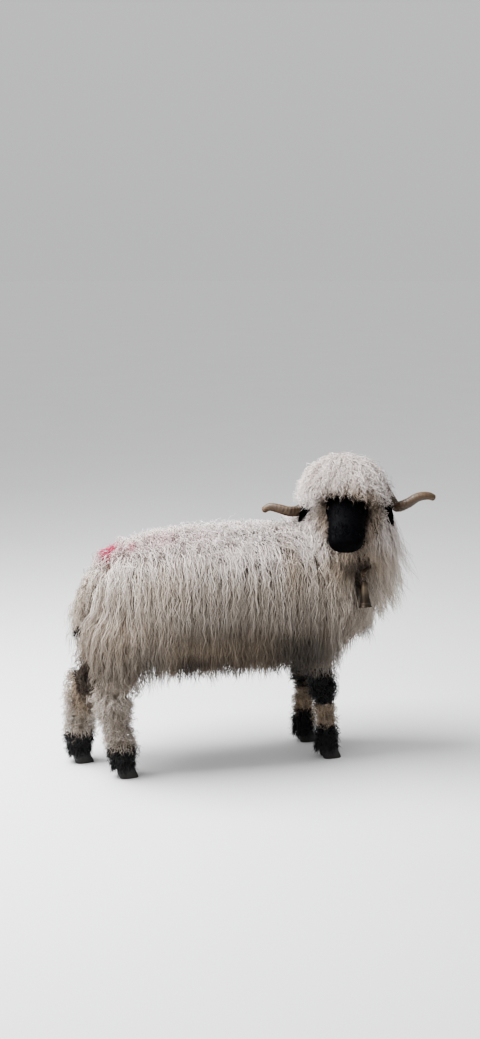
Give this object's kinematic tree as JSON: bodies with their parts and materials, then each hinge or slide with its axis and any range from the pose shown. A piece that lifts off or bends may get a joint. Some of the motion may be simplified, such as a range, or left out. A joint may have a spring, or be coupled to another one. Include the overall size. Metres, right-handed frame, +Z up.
{
  "type": "sheep model",
  "caption": "Life-size standing sheep with a black face, cream topknot, long hanging fleece, small horns, black feet and a brass bell on a collar, head turned to its right.",
  "frame": {"origin": "middle of the bounding box, at the level of the claws' soles", "axes": "+X from rump to chest, +Y to the animal's left, +Z up"},
  "size_m": [1.1666, 0.533, 0.9774],
  "materials": {
    "wool": "long hanging cream wool with grey and beige strands",
    "face": "short black hair under a cream topknot of curls",
    "ear": "short black hair",
    "horn": "satin ringed horn",
    "claw": "satin dark horn",
    "eye": "wet gloss, brown with a dark bar for a pupil",
    "leather": "worn dark leather",
    "brass": "tarnished brass"
  },
  "bodies": {
    "root": {"leg_hind_right": "wool", "leg_hind_left": "wool", "leg_front_right": "wool", "leg_front_left": "wool", "claw_hind_right_right": "claw", "claw_hind_right_left": "claw", "claw_hind_left_right": "claw", "claw_hind_left_left": "claw", "claw_front_right_right": "claw", "claw_front_right_left": "claw", "claw_front_left_right": "claw", "claw_front_left_left": "claw", "tail": "wool", "horn_left": "horn", "horn_right": "horn", "ear_left": "ear", "ear_right": "ear", "eye_left": "eye", "eye_right": "eye", "head": "face", "bell": "brass", "clapper": "brass", "strap": "leather", "torso": "wool", "collar": "leather", "neck": "wool"}
  },
  "joints": []
}
